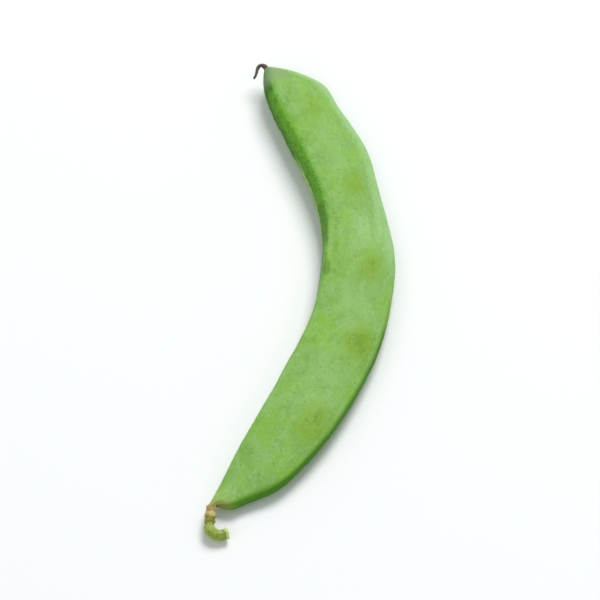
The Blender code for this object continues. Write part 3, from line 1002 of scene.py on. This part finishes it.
class MESH_OT_bean_stalk(bpy.types.Operator):
    """Make the hooked stalk with its broken end, the fibres there and its fine hairs"""

    bl_idname = "mesh.bean_stalk"
    bl_label = "Stalk"

    # The route starts inside the calyx, so that the two meet with no gap.
    START = (61.75, -18.12, 2.84)
    RADII = (0.85, 1.0, 1.14, 1.22, 1.2, 1.15, 1.12, 1.2)
    RINGS = 140
    END_RINGS = 34
    AROUND = 96
    ROUGH = ((0.11, 1.0, 31), (0.05, 0.35, 32))
    FRAYED = (0.14, 0.25, 38)
    JAGGED = ((0.24, 0.45, 33), (0.13, 0.2, 34))
    HAIRS = 60
    FIBRES = 26
    FIBRE_LENGTH = 0.75
    FIBRE_SHARES = (0.4, 1.0)
    FIBRE_LEAN = 0.28
    FIBRE_ROOT = 0.2
    FIBRE_DROOP = 0.1
    FIBRE_RADIUS = 0.06

    def execute(self, context):
        colours = context.scene.bean_pod_colours
        rings, share, broken = self.hook()
        mesh = ring_mesh("stalk_hook", rings, {"share": share, "broken": broken})
        add_piece("stalk_hook", mesh, stalk_material(colours), "stalk")
        grow_hairs(context, "stalk", rings[: self.RINGS], self.HAIRS, colours.stalk_yellow, 35)
        mesh = self.fibres(rings)
        material = hair_material("stalk_fibre", colours.stalk_pith, colours.hair_pale)
        add_piece("stalk_fibres", mesh, material, "stalk")
        return {"FINISHED"}

    def hook(self):
        """A ribbed tube along the route, whose last rings shrink to close the broken end."""
        centre, radius, outwards, forward, angle, share = tube(
            (self.START, *STALK_PATH), self.RADII, self.RINGS, self.AROUND
        )
        ribs = 0.045 * np.cos(6.0 * angle + 1.5 * share) + 0.05 * hump(share, 0.96, 0.05)
        rings = centre[:, None] + (radius * (1.0 + ribs))[..., None] * outwards
        rough = noises(rings, self.ROUGH)
        rough = rough + ramp(share, 0.88, 0.96) * noises(rings, (self.FRAYED,))
        rings = rings + outwards * rough[..., None]
        shrink = np.linspace(1.0, 0.0, self.END_RINGS + 1)[1:, None, None]
        rim = rings[-1][None]
        middle = rim.mean(axis=1, keepdims=True)
        face = middle + (rim - middle) * shrink
        jagged = noises(face, self.JAGGED) * np.minimum(1.0, 4.0 * (1.0 - shrink[..., 0]))
        face = face + forward[-1] * jagged[..., None]
        rings = np.concatenate((rings, face[:-1]))
        share = np.concatenate((share, np.ones((self.END_RINGS - 1, 1))))
        broken = np.zeros(rings.shape[:2])
        broken[self.RINGS - 2:] = 1.0
        return rings, np.broadcast_to(share, rings.shape[:2]), broken

    def fibres(self, rings):
        """Torn fibres that stand out of the broken end, at drawn places on its rings."""
        draw = np.random.default_rng(36)
        ring = draw.integers(self.RINGS, len(rings), self.FIBRES)
        corner = draw.integers(0, self.AROUND, self.FIBRES)
        away = unit(rings[self.RINGS].mean(axis=0) - rings[self.RINGS - 8].mean(axis=0))
        directions = unit(away + draw.normal(0.0, self.FIBRE_LEAN, (self.FIBRES, 3)))
        lengths = self.FIBRE_LENGTH * draw.uniform(*self.FIBRE_SHARES, self.FIBRES)
        roots = rings[ring, corner] - self.FIBRE_ROOT * directions
        radius, droop = self.FIBRE_RADIUS, self.FIBRE_DROOP
        return strand_mesh("stalk_fibres", roots, directions, lengths, radius, droop, 37)


class MESH_OT_bean_style(bpy.types.Operator):
    """Make the dry style at the pod's tip"""

    bl_idname = "mesh.bean_style"
    bl_label = "Style"

    # The route starts inside the pod's tip, so that the two meet with no gap.
    START = (-54.1, -6.1, 7.85)
    RADII = (0.5, 0.46, 0.38, 0.34, 0.3, 0.2)
    RINGS = 100
    AROUND = 40
    CREASE = 0.12
    ROUGH = ((0.06, 0.4, 41), (0.03, 0.18, 42))

    def execute(self, context):
        centre, radius, outwards, _, angle, share = tube(
            (self.START, *STYLE_PATH), self.RADII, self.RINGS, self.AROUND
        )
        creases = self.CREASE * np.cos(4.0 * angle + 5.0 * share)
        rings = centre[:, None] + (radius * (1.0 + creases))[..., None] * outwards
        rings = rings + outwards * noises(rings, self.ROUGH)[..., None]
        mesh = ring_mesh("style_hook", rings)
        material = style_material(context.scene.bean_pod_colours)
        add_piece("style_hook", mesh, material, "style")
        return {"FINISHED"}


class SCENE_OT_bean_stage(bpy.types.Operator):
    """Lay the floor, set the soft lights and place the camera"""

    bl_idname = "scene.bean_stage"
    bl_label = "Stage"

    FLOOR_SIZE = 14.0
    SENSOR = 0.036
    SKY_COLOUR = (0.95, 0.98, 1.0, 1.0)
    SKY_STRENGTH = 0.48
    # Name, place, size and power in watts of each soft light.
    LIGHTS = (
        ("key_light", (-0.75, 0.35, 1.15), 0.8, 15.0),
        ("fill_light", (0.9, -0.7, 0.8), 1.2, 3.6),
    )

    def execute(self, context):
        self.floor(context)
        self.lights(context)
        self.camera(context)
        context.scene.view_settings.view_transform = "Standard"
        return {"FINISHED"}

    def floor(self, context):
        half = self.FLOOR_SIZE / 2.0
        corners = [(-half, -half, 0.0), (half, -half, 0.0), (half, half, 0.0), (-half, half, 0.0)]
        mesh = bpy.data.meshes.new("floor")
        mesh.from_pydata(corners, [], [(0, 1, 2, 3)])
        mesh.materials.append(floor_material(context.scene.bean_pod_colours))
        floor = bpy.data.objects.new("floor", mesh)
        context.scene.collection.objects.link(floor)

    def lights(self, context):
        for name, place, size, power in self.LIGHTS:
            light = bpy.data.lights.new(name, "AREA")
            light.shape = "DISK"
            light.size = size
            light.energy = power
            lamp = bpy.data.objects.new(name, light)
            lamp.location = place
            lamp.rotation_euler = (-Vector(place)).to_track_quat("-Z", "Y").to_euler()
            context.scene.collection.objects.link(lamp)
        world = bpy.data.worlds.new("soft_world")
        world.use_nodes = True
        background = world.node_tree.nodes["Background"]
        background.inputs["Color"].default_value = self.SKY_COLOUR
        background.inputs["Strength"].default_value = self.SKY_STRENGTH
        context.scene.world = world

    def camera(self, context):
        stage = context.scene.bean_pod_stage
        low, high = (Vector(corner) for corner in CAD_BOX)
        target = (low + high) / 2.0
        flat = stage.distance * math.cos(stage.elevation)
        place = target + Vector((
            flat * math.sin(stage.azimuth),
            -flat * math.cos(stage.azimuth),
            stage.distance * math.sin(stage.elevation),
        ))
        lens = bpy.data.cameras.new("camera")
        lens.sensor_width = self.SENSOR / MM
        lens.lens = self.SENSOR / MM * stage.distance / stage.view_width
        camera = bpy.data.objects.new("camera", lens)
        camera.location = place
        camera.rotation_euler = (target - place).to_track_quat("-Z", "Y").to_euler()
        context.scene.collection.objects.link(camera)
        context.scene.camera = camera


PIECES = (
    MESH_OT_bean_pod_shell,
    MESH_OT_bean_calyx,
    MESH_OT_bean_stalk,
    MESH_OT_bean_style,
    SCENE_OT_bean_stage,
)


class VIEW3D_PT_bean_pod(bpy.types.Panel):
    """Sizes and colours of the pod, and its operators"""

    bl_label = "Bean Pod"
    bl_category = "Bean Pod"
    bl_space_type = "VIEW_3D"
    bl_region_type = "UI"

    def draw(self, context):
        for group in ("bean_pod_sizes", "bean_pod_colours", "bean_pod_stage"):
            settings = getattr(context.scene, group)
            box = self.layout.box()
            for name in settings.__annotations__:
                box.prop(settings, name)
        for operator in PIECES:
            self.layout.operator(operator.bl_idname)


GROUPS = {
    "bean_pod_sizes": BeanPodSizes,
    "bean_pod_colours": BeanPodColours,
    "bean_pod_stage": BeanPodStage,
}


def register():
    for kind in (*GROUPS.values(), *PIECES, VIEW3D_PT_bean_pod):
        bpy.utils.register_class(kind)
    for name, kind in GROUPS.items():
        setattr(bpy.types.Scene, name, bpy.props.PointerProperty(type=kind))


def unregister():
    for name in GROUPS:
        delattr(bpy.types.Scene, name)
    for kind in reversed((*GROUPS.values(), *PIECES, VIEW3D_PT_bean_pod)):
        bpy.utils.unregister_class(kind)


def main():
    register()
    bpy.ops.mesh.bean_pod_shell()
    bpy.ops.mesh.bean_calyx()
    bpy.ops.mesh.bean_stalk()
    bpy.ops.mesh.bean_style()
    bpy.ops.scene.bean_stage()


if __name__ == "__main__":
    main()
